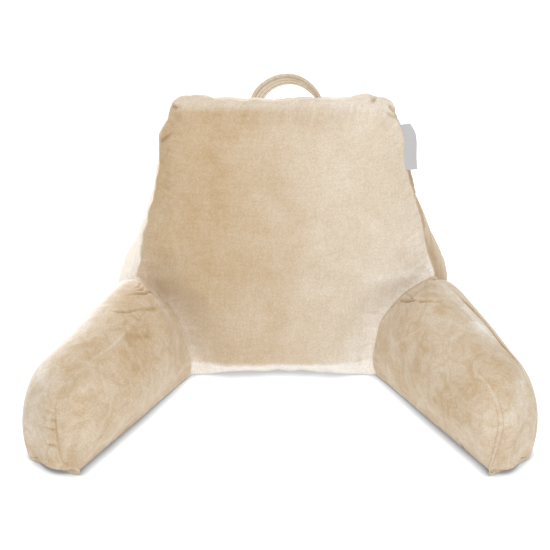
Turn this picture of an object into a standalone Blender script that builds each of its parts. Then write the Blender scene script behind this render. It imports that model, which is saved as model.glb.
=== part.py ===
# Reading pillow with arms: a filled back cushion, two filled arms sewn to its lower
# corners, a carry loop on top and a small tag in one side seam.
# Metres, +Z up. The pillow stands on its base at z = 0, and the sitter faces -Y.

from math import acos, cos, pi, radians, sin, sqrt

import bmesh
import bpy
from mathutils import Vector

# ---------------------------------------------------------------- driving dimensions
FRONT_EDGE_Y = 0.0042          # bottom edge of the front panel, from the middle of the box
RECLINE = radians(19.5)        # lean of the front panel
FACE_HEIGHT = 0.458            # front panel, bottom to top along its face
REAR_LEAN = radians(3.0)       # lean of the rear panel
REAR_HEIGHT = 0.355            # rear panel, bottom to top along its face
BASE_DEPTH = 0.224             # front edge to rear edge on the floor

TOP_CORNER = 0.014             # radius of the front panel's top corners
REAR_CORNER = 0.030            # and of the rear panel's
FLOOR_BOW = 0.008              # the front edge draws back between the arms

FRONT_CROWN = 0.036            # how far the filling pushes each panel out
REAR_CROWN = 0.026
TOP_CROWN = 0.013
FLAT_SHARE = 0.65              # part of the front crown that is even, the rest is a dome
FRONT_RIM = 0.060              # width of the rounded rim of the front panel
FLOOR_RIM = 0.050              # of its rim along the floor
ARM_RIM = 0.080                # and of its gentler slope down to the arms
SIDE_ROUND = 0.6               # profile of the boxing at the sides: less is fuller
TOP_ROUND = 0.7                # and along the top
TOP_ENDS = 4                   # how far the top stays full towards its two ends
REAR_SIDES = 3                 # how far the rear panel stays full towards its sides
REAR_ENDS = 3.5                # and towards its top and bottom

SEW_GAP = 0.0006               # left between two pieces that are sewn together

FRONT_OUTLINE = (              # height along the front panel, half width
    (0.000, 0.256), (0.100, 0.253), (0.168, 0.243), (0.203, 0.236), (0.254, 0.2245),
    (0.305, 0.209), (0.356, 0.200), (0.400, 0.197), (0.419, 0.189), (0.437, 0.181),
    (0.458, 0.179))
REAR_OUTLINE = (               # height along the rear panel, half width
    (0.000, 0.268), (0.090, 0.266), (0.142, 0.256), (0.190, 0.237), (0.224, 0.221),
    (0.254, 0.209), (0.305, 0.193), (0.355, 0.177))
SIDE_CROWN = (                 # share of the height, how far the boxing stands out
    (0.000, 0.012), (0.300, 0.012), (0.450, 0.008), (0.600, 0.005), (1.000, 0.004))
ARM_SEAM = (                   # height along the face, half width where the arm is sewn on
    (0.000, 0.1540), (0.021, 0.1500), (0.045, 0.1510), (0.071, 0.1550), (0.093, 0.1630),
    (0.115, 0.1770), (0.140, 0.2000), (0.157, 0.2220), (0.168, 0.2430))

ARM_SECTIONS = (               # along the inner edge, outer edge x and y, height, bulges
    (0.000, 0.279, 0.140, 0.150, 0.004, 0.004),
    (0.030, 0.290, 0.096, 0.166, 0.014, 0.014),
    (0.070, 0.298, 0.045, 0.173, 0.026, 0.024),
    (0.115, 0.310, -0.011, 0.171, 0.030, 0.031),
    (0.165, 0.332, -0.072, 0.165, 0.030, 0.032),
    (0.215, 0.354, -0.125, 0.158, 0.027, 0.031),
    (0.250, 0.371, -0.160, 0.152, 0.024, 0.029),
    (0.315, 0.399, -0.219, 0.142, 0.018, 0.024))
ARM_SPLAY = radians(32.3)      # the inner edge turns out from straight ahead
ARM_LENGTH = 0.315             # along the inner edge, seam to nose
ARM_WAIST = 0.42               # height of the widest place, as a share of the arm's height
NOSE_LENGTH = 0.090            # the rounded end
NOSE_ROUND = 3.0               # its profile from the side: 2 is round, more is blunter
NOSE_CURVE = 2.6               # its outer edge from above, in the same way
NOSE_FRONT = 0.35              # share of the half width left at the tip, outside
NOSE_INSIDE = 0.86             # and inside, where the edge stays nearly straight
NOSE_INSIDE_CURVE = 10
TIP_SHARE = 0.9999             # the last ring, just short of the tip's flat edge
SEAM_DROP = 0.25               # the root seam sinks along the boxing by this share
SEAM_BACK = 0.62               # it runs back this share of the boxing's depth
SEAM_REACH = 0.060             # the arm settles from its seam into a tube over this length
ROOT_HEART = (0.200, 0.094)    # x and y inside the back cushion that the root runs to
ROOT_DEPTH = 0.25              # share of that way that it goes

HANDLE_SPAN = 0.102            # between the two feet of the carry loop
HANDLE_RISE = 0.034
HANDLE_LEAN = radians(42)      # it leans back with the boxing that it is sewn to
HANDLE_TWIST = radians(26)     # the left foot is sewn on turned in, the right one is straight
HANDLE_WIDTH = 0.026
HANDLE_THICKNESS = 0.0045
HANDLE_X = 0.010               # middle of the loop
HANDLE_LEFT = 1.3              # how steep the loop stands at its left foot: less is steeper
HANDLE_RIGHT = 1.7             # and at its right foot
SEWN_IN = 0.012                # length of each foot inside the seam

LABEL_LENGTH = 0.074
LABEL_PROUD = 0.019            # how far the tag stands out of the seam
LABEL_CORNERS = 0.86           # share of that at its two ends
LABEL_TURN = radians(14)       # it points this much behind straight out
LABEL_CURL = 0.004
LABEL_THICKNESS = 0.0016
LABEL_SEWN_IN = 0.006
LABEL_HEIGHT = 0.380           # middle of the tag, up along the side seam

BACK_CUTS = 19                 # grid lines across each side of the back cushion
GRID_CROWD = radians(74)       # they crowd towards the seams, where the skin turns
ARCH_STEPS = 28                # steps over the arch of an arm
UNDER_STEPS = 6                # and across its base
ARM_RINGS = 13                 # rings along the tube of an arm
RING_CROWD = 1.3               # they crowd towards the root
NOSE_RINGS = 9                 # and along its rounded end
HANDLE_STEPS = 22
LABEL_STEPS = 8
FRONT_SHARE = 0.45             # share of the arch sewn to the front panel
SIDE_SHARE = 0.78              # where the share sewn to the boxing ends

FACE_UP = Vector((0, sin(RECLINE), cos(RECLINE)))
FACE_OUT = Vector((0, -cos(RECLINE), sin(RECLINE)))
REAR_UP = Vector((0, sin(REAR_LEAN), cos(REAR_LEAN)))
REAR_OUT = Vector((0, cos(REAR_LEAN), -sin(REAR_LEAN)))
FRONT_EDGE = Vector((0, FRONT_EDGE_Y, 0))
REAR_EDGE = Vector((0, FRONT_EDGE_Y + BASE_DEPTH, 0))
SEAM_TOP = ARM_SEAM[-1][0]
INNER_START = FRONT_EDGE + Vector((ARM_SEAM[0][1], 0, 0))
INNER_WAY = Vector((sin(ARM_SPLAY), -cos(ARM_SPLAY), 0))

# ---------------------------------------------------------------- scene and materials
for old in list(bpy.data.objects):
    bpy.data.objects.remove(old, do_unlink=True)

pillow = bpy.data.collections.new("reading_pillow")
cutters = bpy.data.collections.new("cutters")
bpy.context.scene.collection.children.link(pillow)
bpy.context.scene.collection.children.link(cutters)


def cloth(name, colour, roughness):
    material = bpy.data.materials.new(name)
    material.use_nodes = True
    shader = material.node_tree.nodes["Principled BSDF"]
    shader.inputs["Base Color"].default_value = (*colour, 1.0)
    shader.inputs["Roughness"].default_value = roughness
    shader.inputs["Metallic"].default_value = 0.0
    return material


def new_piece(name, shape, group, material=None):
    """An object from a bmesh, shaded smooth."""
    mesh = bpy.data.meshes.new(name)
    shape.to_mesh(mesh)
    shape.free()
    if material:
        mesh.materials.append(material)
    mesh.shade_smooth()
    piece = bpy.data.objects.new(name, mesh)
    group.objects.link(piece)
    return piece


# ---------------------------------------------------------------- curves
def curve(rows, at, column=1):
    """Smooth curve through the rows' column, read at a value of their first column."""
    last = len(rows) - 1
    at = min(max(at, rows[0][0]), rows[last][0])
    i = max(k for k in range(last) if rows[k][0] <= at)

    def slope(k):
        low, high = rows[max(k - 1, 0)], rows[min(k + 1, last)]
        return (high[column] - low[column]) / (high[0] - low[0])

    step = rows[i + 1][0] - rows[i][0]
    t = (at - rows[i][0]) / step
    start, end = rows[i][column], rows[i + 1][column]
    bend = (t**3 - 2 * t**2 + t) * slope(i) + (t**3 - t**2) * slope(i + 1)
    return start + (end - start) * (3 * t**2 - 2 * t**3) + step * bend


def ease(t):
    t = min(max(t, 0.0), 1.0)
    return t * t * (3 - 2 * t)


def rim(distance, width):
    """Height, 0 to 1, of a stuffed rim: a quarter round that starts at its seam."""
    t = min(max(distance / width, 0.0), 1.0)
    return sqrt(1 - (1 - t)**2)


def rounded(along, power):
    """What is left of a width at a share of the way to a rounded tip."""
    return (1 - along**power)**(1 / power)


# ---------------------------------------------------------------- back cushion
def panel_half_width(outline, along, height, corner):
    """Half width of a panel at a height along it, with its top corners rounded."""
    cut = max(along - height + corner, 0)
    return curve(outline, along) - corner + sqrt(corner**2 - cut**2)


def front_point(across, up):
    along = up * FACE_HEIGHT
    half = panel_half_width(FRONT_OUTLINE, along, FACE_HEIGHT, TOP_CORNER)
    x = across * half
    bow = FLOOR_BOW * max(1 - (x / ARM_SEAM[0][1])**2, 0) * (1 - ease(along / FLOOR_RIM))
    return FRONT_EDGE + FACE_UP * along + Vector((x, bow, 0))


def rear_point(across, up):
    along = up * REAR_HEIGHT
    half = panel_half_width(REAR_OUTLINE, along, REAR_HEIGHT, REAR_CORNER)
    return REAR_EDGE + REAR_UP * along + Vector((across * half, 0, 0))


def front_crown(x, along):
    """How far the front panel stands out: nothing at its seams, most in the middle."""
    side = curve(ARM_SEAM if along < SEAM_TOP else FRONT_OUTLINE, along)
    low = 1 - ease((along - SEAM_TOP) / FRONT_RIM)
    inside = side - abs(x)
    edge = rim(inside, FRONT_RIM) * (1 - low) + ease(inside / ARM_RIM) * low
    edge *= rim(along, FLOOR_RIM) * rim(FACE_HEIGHT - along, FRONT_RIM)
    dome = cos(pi * (along / FACE_HEIGHT - 0.5)) * cos(pi / 2 * min(abs(x) / side, 1))
    return FRONT_CROWN * edge * (FLAT_SHARE + (1 - FLAT_SHARE) * max(dome, 0))


def rear_crown(across, up):
    return REAR_CROWN * sqrt((1 - abs(across)**REAR_SIDES) * (1 - abs(2 * up - 1)**REAR_ENDS))


def back_point(across, back, up):
    """Place on the cushion's skin. across, back and up run from -1 to 1 over a cube."""
    height = (up + 1) / 2
    share = (back + 1) / 2
    front = front_point(across, height)
    point = front.lerp(rear_point(across, height), share)
    if back == -1:
        point += FACE_OUT * front_crown(front.x, height * FACE_HEIGHT)
    if back == 1:
        point += REAR_OUT * rear_crown(across, height)
    if abs(across) == 1:
        point.x += across * curve(SIDE_CROWN, height) * sin(pi * share)**SIDE_ROUND
    if up == 1:
        point += FACE_UP * TOP_CROWN * sin(pi * share)**TOP_ROUND * sqrt(1 - across**TOP_ENDS)
    if up == -1:
        point.z = 0
    return point


def back_shape(swell=0.0):
    """A gridded cube bent into the cushion. swell moves its skin out, for a cutter."""
    shape = bmesh.new()
    bmesh.ops.create_cube(shape, size=2)
    bmesh.ops.subdivide_edges(shape, edges=shape.edges[:], cuts=BACK_CUTS, use_grid_fill=True)
    for vertex in shape.verts:
        cube = [round(c, 4) for c in vertex.co]
        vertex.co = back_point(*(sin(c * GRID_CROWD) / sin(GRID_CROWD) for c in cube))
    bmesh.ops.recalc_face_normals(shape, faces=shape.faces)
    bmesh.ops.triangulate(shape, faces=shape.faces)
    shape.normal_update()
    for vertex, out in [(v, v.normal.copy()) for v in shape.verts]:
        vertex.co += out * swell
    return shape


# ---------------------------------------------------------------- arms
def seam_ring(turn):
    """The sewn root of an arm on the back cushion: up the front panel, back along the
    boxing and down it to the floor. turn is 0 at the inner edge and 1 at the outer."""
    if turn < FRONT_SHARE:
        along = SEAM_TOP * sin(pi / 2 * turn / FRONT_SHARE)
        return FRONT_EDGE + FACE_UP * along + Vector((curve(ARM_SEAM, along), 0, 0))
    top = SEAM_TOP / FACE_HEIGHT
    if turn < SIDE_SHARE:
        share = (turn - FRONT_SHARE) / (SIDE_SHARE - FRONT_SHARE)
        return back_point(1, 2 * SEAM_BACK * share - 1, 2 * top * (1 - SEAM_DROP * sqrt(share)) - 1)
    up = top * (1 - SEAM_DROP) * (1 - turn) / (1 - SIDE_SHARE)
    return back_point(1, 2 * SEAM_BACK - 1, 2 * up - 1)


def arch(station, turn):
    """Place over the arm, at a distance along its inner edge. Each half of the arch is
    a quarter ellipse down to the waist, and tucks in below it to the edge of the base."""
    outer_x, outer_y, height, inner_bulge, outer_bulge = (
        curve(ARM_SECTIONS, station, column) for column in range(1, 6))
    inner = INNER_START + INNER_WAY * station
    outer = Vector((outer_x, outer_y + FRONT_EDGE_Y, 0))
    middle = (inner + outer) / 2
    half = (outer - inner).length / 2
    way = (outer - inner).normalized() * (-1 if turn < 0.5 else 1)
    nose = min(max(station - (ARM_LENGTH - NOSE_LENGTH), 0) / NOSE_LENGTH, 1)
    if turn < 0.5:
        bulge = inner_bulge
        narrow = 1 - (1 - NOSE_INSIDE) * nose**NOSE_INSIDE_CURVE
    else:
        bulge = outer_bulge
        narrow = NOSE_FRONT + (1 - NOSE_FRONT) * rounded(nose, NOSE_CURVE)
    height *= rounded(nose, NOSE_ROUND)
    tuck = acos(half / (half + bulge))
    angle = (pi / 2 + tuck) * 2 * min(turn, 1 - turn) - tuck
    point = middle + way * (half + bulge) * cos(angle) * narrow
    waist = height * ARM_WAIST
    if angle < 0:
        point.z = waist * (1 + sin(angle) / sin(tuck))
    else:
        point.z = waist + (height - waist) * sin(angle)
    return point


def arm_point(station, turn):
    """The arch, bent near its root to meet the seam on the back cushion."""
    pull = 1 - ease(station / SEAM_REACH)
    return arch(station, turn) + (seam_ring(turn) - arch(0, turn)) * pull


def arm_ring(station):
    over = [arm_point(station, i / ARCH_STEPS) for i in range(ARCH_STEPS + 1)]
    under = [over[-1].lerp(over[0], i / UNDER_STEPS) for i in range(1, UNDER_STEPS)]
    return over + under


def arm_shape():
    """Rings from inside the back cushion to the nose, for the right arm."""
    tube = ARM_LENGTH - NOSE_LENGTH
    stations = [tube * (i / ARM_RINGS)**RING_CROWD for i in range(ARM_RINGS)]
    stations += [tube + NOSE_LENGTH * rounded(cos(pi / 2 * i / NOSE_RINGS), NOSE_ROUND)
                 for i in range(NOSE_RINGS)]
    rings = [arm_ring(station) for station in stations + [ARM_LENGTH * TIP_SHARE]]
    inside = [p.lerp(Vector((*ROOT_HEART, p.z)), ROOT_DEPTH) for p in rings[0]]
    shape = bmesh.new()
    loops = [[shape.verts.new(p) for p in ring] for ring in [inside] + rings]
    for loop, following in zip(loops, loops[1:]):
        for i in range(len(loop)):
            j = (i + 1) % len(loop)
            shape.faces.new((loop[i], loop[j], following[j], following[i]))
    shape.faces.new(loops[0])
    shape.faces.new(loops[-1])
    bmesh.ops.recalc_face_normals(shape, faces=shape.faces)
    return shape


def mirrored(shape):
    for vertex in shape.verts:
        vertex.co.x *= -1
    bmesh.ops.reverse_faces(shape, faces=shape.faces)
    return shape


# ---------------------------------------------------------------- carry loop and tag
def strap_shape(rows):
    """An open strip of quads through rows of two points each."""
    shape = bmesh.new()
    ends = [[shape.verts.new(p) for p in row] for row in rows]
    for (a, b), (c, d) in zip(ends, ends[1:]):
        shape.faces.new((a, b, d, c))
    return shape


def handle_rows():
    """A half round that leans back on the top boxing. Its front edge shows, and the
    twist of its left foot turns its inner face to the front."""
    up = Vector((0, sin(HANDLE_LEAN), cos(HANDLE_LEAN)))
    back = Vector((0, cos(HANDLE_LEAN), -sin(HANDLE_LEAN)))
    foot = front_point(0, 1).lerp(rear_point(0, 1), 0.5) + FACE_UP * TOP_CROWN
    foot.x = HANDLE_X
    rows = []
    for i in range(HANDLE_STEPS + 1):
        share = i / HANDLE_STEPS
        inwards = Vector((cos(pi * share), 0, 0)) - up * sin(pi * share)
        steepness = HANDLE_LEFT + (HANDLE_RIGHT - HANDLE_LEFT) * share
        lift = HANDLE_RISE * max(sin(pi * share), 0)**steepness
        twist = HANDLE_TWIST * (1 - share)
        middle = foot + up * lift - Vector((HANDLE_SPAN / 2 * cos(pi * share), 0, 0))
        across = (back * cos(twist) + inwards * sin(twist)) * HANDLE_WIDTH / 2
        rows.append((middle - across, middle + across))
    first = [p - up * SEWN_IN for p in rows[0]]
    last = [p - up * SEWN_IN for p in rows[-1]]
    return [first] + rows + [last]


def label_rows():
    """A strip that stands out of the side seam, its free edge rounded."""
    out = Vector((cos(LABEL_TURN), sin(LABEL_TURN), 0))
    rows = []
    for i in range(LABEL_STEPS + 1):
        share = i / LABEL_STEPS
        along = LABEL_HEIGHT + LABEL_LENGTH * (share - 0.5)
        seam = front_point(1, along / FACE_HEIGHT)
        middle = sin(pi * share)
        proud = LABEL_PROUD * (LABEL_CORNERS + (1 - LABEL_CORNERS) * middle)
        curl = Vector((0, LABEL_CURL * middle, 0))
        rows.append((seam - out * LABEL_SEWN_IN, seam + out * proud + curl))
    return rows


def solid(piece, thickness):
    wall = piece.modifiers.new("thickness", 'SOLIDIFY')
    wall.thickness = thickness
    wall.offset = 0


def sewn_to(piece, cutter):
    """Cut a piece where the cushion that it is sewn to begins."""
    cut = piece.modifiers.new("sewn", 'BOOLEAN')
    cut.operation = 'DIFFERENCE'
    cut.solver = 'EXACT'
    cut.object = cutter


# ---------------------------------------------------------------- the pieces
PLUSH = (0.66, 0.50, 0.33)
PLUSH_ROUGHNESS = 0.9
SATIN = (0.55, 0.55, 0.56)
SATIN_ROUGHNESS = 0.5

back_plush = cloth("back_plush", PLUSH, PLUSH_ROUGHNESS)
new_piece("back_cushion", back_shape(), pillow, back_plush)
back_cutter = new_piece("back_cutter", back_shape(SEW_GAP), cutters)
back_cutter.hide_render = True
back_cutter.display_type = 'WIRE'

arm_right_plush = cloth("arm_right_plush", PLUSH, PLUSH_ROUGHNESS)
arm_right = new_piece("arm_right", arm_shape(), pillow, arm_right_plush)
arm_left_plush = cloth("arm_left_plush", PLUSH, PLUSH_ROUGHNESS)
arm_left = new_piece("arm_left", mirrored(arm_shape()), pillow, arm_left_plush)

handle_plush = cloth("handle_plush", PLUSH, PLUSH_ROUGHNESS)
carry_handle = new_piece("carry_handle", strap_shape(handle_rows()), pillow, handle_plush)
solid(carry_handle, HANDLE_THICKNESS)

label_satin = cloth("label_satin", SATIN, SATIN_ROUGHNESS)
side_label = new_piece("side_label", strap_shape(label_rows()), pillow, label_satin)
solid(side_label, LABEL_THICKNESS)

for piece in (arm_right, arm_left, carry_handle, side_label):
    sewn_to(piece, back_cutter)
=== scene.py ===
# Reading pillow with arms, dressed in short plush: a filled back cushion, two filled
# arms sewn to its lower corners, a carry loop on top and a bare woven tag in one seam.
# Metres, +Z up. The pillow stands on its base at z = 0, and the sitter faces -Y.

from math import cos, pi, radians, sin, tau

import bmesh
import bpy
import numpy as np
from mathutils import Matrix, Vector
from mathutils.kdtree import KDTree


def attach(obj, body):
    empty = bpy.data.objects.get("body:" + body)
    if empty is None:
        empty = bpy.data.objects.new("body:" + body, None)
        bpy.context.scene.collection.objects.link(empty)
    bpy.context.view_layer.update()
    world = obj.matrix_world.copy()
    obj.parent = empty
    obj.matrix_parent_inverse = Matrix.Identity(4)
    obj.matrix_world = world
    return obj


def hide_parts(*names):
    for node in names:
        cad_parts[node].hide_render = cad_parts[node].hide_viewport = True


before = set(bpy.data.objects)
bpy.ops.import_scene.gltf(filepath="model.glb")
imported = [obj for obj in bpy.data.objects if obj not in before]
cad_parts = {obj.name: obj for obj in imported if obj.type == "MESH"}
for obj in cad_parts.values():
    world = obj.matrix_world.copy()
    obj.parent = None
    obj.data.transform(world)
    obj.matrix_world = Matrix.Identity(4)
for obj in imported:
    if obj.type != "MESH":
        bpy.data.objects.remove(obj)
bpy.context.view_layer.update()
scene = bpy.context.scene

# ---------------------------------------------------------------- camera
# A long lens looks down at the sitter's side of the pillow, as far off as a product
# picture is taken.
VIEW_DOWN = radians(31.558)
VIEW_DISTANCE = 2.94439
VIEW_AIM = Vector((-0.01158, 0.0042, 0.19505))
LENS = 120.57


def placed(name, data):
    """A new object of that data, put in the scene."""
    thing = bpy.data.objects.new(name, data)
    scene.collection.objects.link(thing)
    return thing


camera = placed("camera", bpy.data.cameras.new("camera"))
camera.data.lens = LENS
camera.location = VIEW_AIM + VIEW_DISTANCE * Vector((0, -cos(VIEW_DOWN), sin(VIEW_DOWN)))
camera.rotation_euler = (pi / 2 - VIEW_DOWN, 0, 0)
scene.camera = camera

# ---------------------------------------------------------------- floor and light
# A white floor that runs out of sight, under an even white surround. One broad lamp is
# at the front, one hangs above, and a rim lamp grazes the pillow from behind on the left.
FLOOR_SIZE = 30.0
FLOOR_DROP = 0.0004
FLOOR_GREY = (0.26, 0.28, 0.31)
FLOOR_GLOW = 0.98
SHADE_REACH = 0.022  # how far the contact shade spreads over the floor
SHADE_START = 0.88  # share of open sky below which the floor dims
SHADE_FULL = 0.3  # and at which it is dimmed by all of SHADE_DEPTH
SHADE_DEPTH = 0.86
SHADE_IN_FRONT = 0.65  # share of that in front of the cushion
FRONT_ENDS = (0.12, 0.17)  # where it eases back to all of it, out to the sides
SURROUND = 0.69
AIM_OF_LIGHT = Vector((0.0, 0.05, 0.15))
LAMPS = (  # name, place, width, watts
    ("key", (0.35, -2.2, 1.7), 1.1, 20),
    ("rim", (-1.05, 2.0, 1.0), 0.8, 30),
    ("top", (0.2, -0.3, 2.6), 1.6, 14))

scene.view_settings.view_transform = 'Standard'
world = bpy.data.worlds.new("surround")
world.use_nodes = True
world.node_tree.nodes["Background"].inputs["Color"].default_value = (1, 1, 1, 1)
world.node_tree.nodes["Background"].inputs["Strength"].default_value = SURROUND
scene.world = world

for name, place, width, watts in LAMPS:
    lamp = placed(name, bpy.data.lights.new(name, 'AREA'))
    lamp.data.shape = 'DISK'
    lamp.data.size = width
    lamp.data.energy = watts
    lamp.location = place
    lamp.rotation_euler = (AIM_OF_LIGHT - lamp.location).to_track_quat('-Z', 'Y').to_euler()


def feed(tree, fed, inputs):
    """Give a node its inputs: numbers and colours, or links from other nodes' outputs."""
    for label, value in dict(inputs).items():
        if isinstance(value, bpy.types.NodeSocket):
            tree.links.new(value, fed.inputs[label])
        else:
            fed.inputs[label].default_value = value


def node(tree, kind, inputs=(), **settings):
    made = tree.nodes.new(kind)
    for setting, value in settings.items():
        setattr(made, setting, value)
    feed(tree, made, inputs)
    return made


def math(tree, operation, *values):
    return node(tree, 'ShaderNodeMath', enumerate(values), operation=operation).outputs["Value"]


def ranged(tree, value, low, high, to_low, to_high, kind='LINEAR'):
    """value from low to high, turned into to_low to to_high."""
    inputs = {"Value": value, "From Min": low, "From Max": high, "To Min": to_low,
              "To Max": to_high}
    return node(tree, 'ShaderNodeMapRange', inputs, interpolation_type=kind).outputs["Result"]


def own_place(tree):
    return node(tree, 'ShaderNodeTexCoord').outputs["Object"]


def across_of(tree, place):
    return node(tree, 'ShaderNodeSeparateXYZ', {"Vector": place}).outputs["X"]


def plain_material(name, colour, roughness):
    """A material with its Principled shader."""
    material = bpy.data.materials.new(name)
    material.use_nodes = True
    shader = material.node_tree.nodes["Principled BSDF"]
    feed(material.node_tree, shader, {"Base Color": (*colour, 1), "Roughness": roughness})
    return material, shader


def floor_glow(tree):
    """The floor's glow, dimmed where a piece stands close, and less so before the cushion."""
    sky = node(tree, 'ShaderNodeAmbientOcclusion', {"Distance": SHADE_REACH}).outputs["AO"]
    dim = ranged(tree, sky, SHADE_FULL, SHADE_START, SHADE_DEPTH, 0.0)
    aside = math(tree, 'ABSOLUTE', across_of(tree, own_place(tree)))
    share = ranged(tree, aside, *FRONT_ENDS, SHADE_IN_FRONT, 1.0)
    return math(tree, 'SUBTRACT', FLOOR_GLOW, math(tree, 'MULTIPLY', dim, share))


floor_white, floor_shader = plain_material("floor_white", FLOOR_GREY, roughness=0.9)
feed(floor_white.node_tree, floor_shader,
     {"Emission Color": (1, 1, 1, 1), "Emission Strength": floor_glow(floor_white.node_tree)})
floor_mesh = bpy.data.meshes.new("floor")
floor_shape = bmesh.new()
bmesh.ops.create_grid(floor_shape, x_segments=1, y_segments=1, size=FLOOR_SIZE / 2)
bmesh.ops.translate(floor_shape, verts=floor_shape.verts, vec=(0, 0, -FLOOR_DROP))
floor_shape.to_mesh(floor_mesh)
floor_shape.free()
floor_mesh.materials.append(floor_white)
floor = placed("floor", floor_mesh)

# ---------------------------------------------------------------- plush
# Short velour pile, brushed this way and that by hands: where the nap leans towards the
# light it is pale, where it leans away it is tan. Up close the pile is a fine grain.
NAP_TONES = (  # lean of the nap to the light, and the pile's colour there
    (-0.8, (0.33, 0.212, 0.11)), (0.0, (0.49, 0.352, 0.208)), (1.0, (0.64, 0.548, 0.435)),
    (1.7, (0.8, 0.75, 0.68)))
ROWS_ACROSS = ((0.12, 0.12, 1), 260.0)  # stretch of the streaks' pattern, and its scale
ROWS_UPRIGHT = ((1, 0.5, 0.1), 230.0)
NOISE_SPAN = (0.32, 0.68)  # values of the patterns that are spread out to their full share
STREAK_SPAN = (0.7, 1.3)
GRAIN_SPAN = (0.35, 0.65)
SHIFT_WAY = (1, 0.37, -0.61)
CLUMP_SCALE = 0.4  # scale of the clumps of pile, beside the grain's
BRUSH_TURN = (-0.08, 0.2)  # across, where a two-way brushed piece turns from left to right
BRUSH_WANDER = 0.12  # how far that line wanders
WANDER_SCALE = 7.0
PILE_RISE = 0.0006
PILE_BUMP = 0.35
PILE_SHEEN = {"Sheen Weight": 0.45, "Sheen Roughness": 0.35, "Sheen Tint": (1.0, 0.93, 0.82, 1),
              "Specular IOR Level": 0.25}


def node_group(name, kind, given, made):
    """An empty node group. given and made name its sockets, each with its kind or number."""
    group = bpy.data.node_groups.new(name, kind)
    for way, sockets in (('INPUT', given), ('OUTPUT', made)):
        for label, value in sockets.items():
            named = value if isinstance(value, str) else "Float"
            socket = group.interface.new_socket(label, in_out=way, socket_type=f"NodeSocket{named}")
            if named != value:
                socket.default_value = value
    return group, group.nodes.new('NodeGroupInput').outputs, group.nodes.new('NodeGroupOutput')


def noise(group, place, scale, detail=2.0, distortion=0.0, roughness=0.5):
    inputs = {"Vector": place, "Scale": scale, "Detail": detail, "Distortion": distortion,
              "Roughness": roughness}
    return node(group, 'ShaderNodeTexNoise', inputs).outputs["Fac"]


def stretched(group, place, stretch):
    return node(group, 'ShaderNodeVectorMath', enumerate((place, stretch)),
                operation='MULTIPLY').outputs["Vector"]


def build_nap():
    """Brush marks: how far the nap leans to the light, round 0. Wide soft patches, small
    curling dabs, and fine streaks along the rows of the pile, each with its own share."""
    group, given, end = node_group(
        "nap_marks", 'ShaderNodeTree',
        {"Place": "Vector", "Patch Scale": 14.0, "Patches": 0.3, "Mark Scale": 42.0,
         "Marks": 0.3, "Streaks": 0.2}, {"Lean": "Float"})
    place = given["Place"]
    patches = noise(group, place, given["Patch Scale"], 1.6, distortion=0.7, roughness=0.45)
    marks = noise(group, place, given["Mark Scale"], distortion=1.3)
    across, upright = (noise(group, stretched(group, place, stretch), scale)
                       for stretch, scale in (ROWS_ACROSS, ROWS_UPRIGHT))
    streaks = math(group, 'ADD', across, upright)
    lean = 0.0
    for value, span, share in ((patches, NOISE_SPAN, "Patches"), (marks, NOISE_SPAN, "Marks"),
                               (streaks, STREAK_SPAN, "Streaks")):
        eased = ranged(group, value, *span, -0.5, 0.5, 'SMOOTHSTEP')
        lean = math(group, 'ADD', lean, math(group, 'MULTIPLY', eased, given[share]))
    feed(group, end, {"Lean": lean})
    return group


def build_pile():
    """Fine grain of the pile: a colour value round 1 and a height round 0.5."""
    group, given, end = node_group(
        "plush_pile", 'ShaderNodeTree', {"Place": "Vector", "Grain Scale": 900.0, "Depth": 0.1},
        {"Value": "Float", "Height": "Float"})
    place, scale, depth = given["Place"], given["Grain Scale"], given["Depth"]
    fine = noise(group, place, scale, roughness=0.6)
    clump = noise(group, place, math(group, 'MULTIPLY', scale, CLUMP_SCALE))
    height = math(group, 'MULTIPLY', math(group, 'ADD', fine, clump), 0.5)
    low, high = math(group, 'SUBTRACT', 1.0, depth), math(group, 'ADD', 1.0, depth)
    value = ranged(group, height, *GRAIN_SPAN, low, high, 'SMOOTHSTEP')
    feed(group, end, {"Value": value, "Height": height})
    return group


nap_marks = build_nap()
plush_pile = build_pile()


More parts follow.
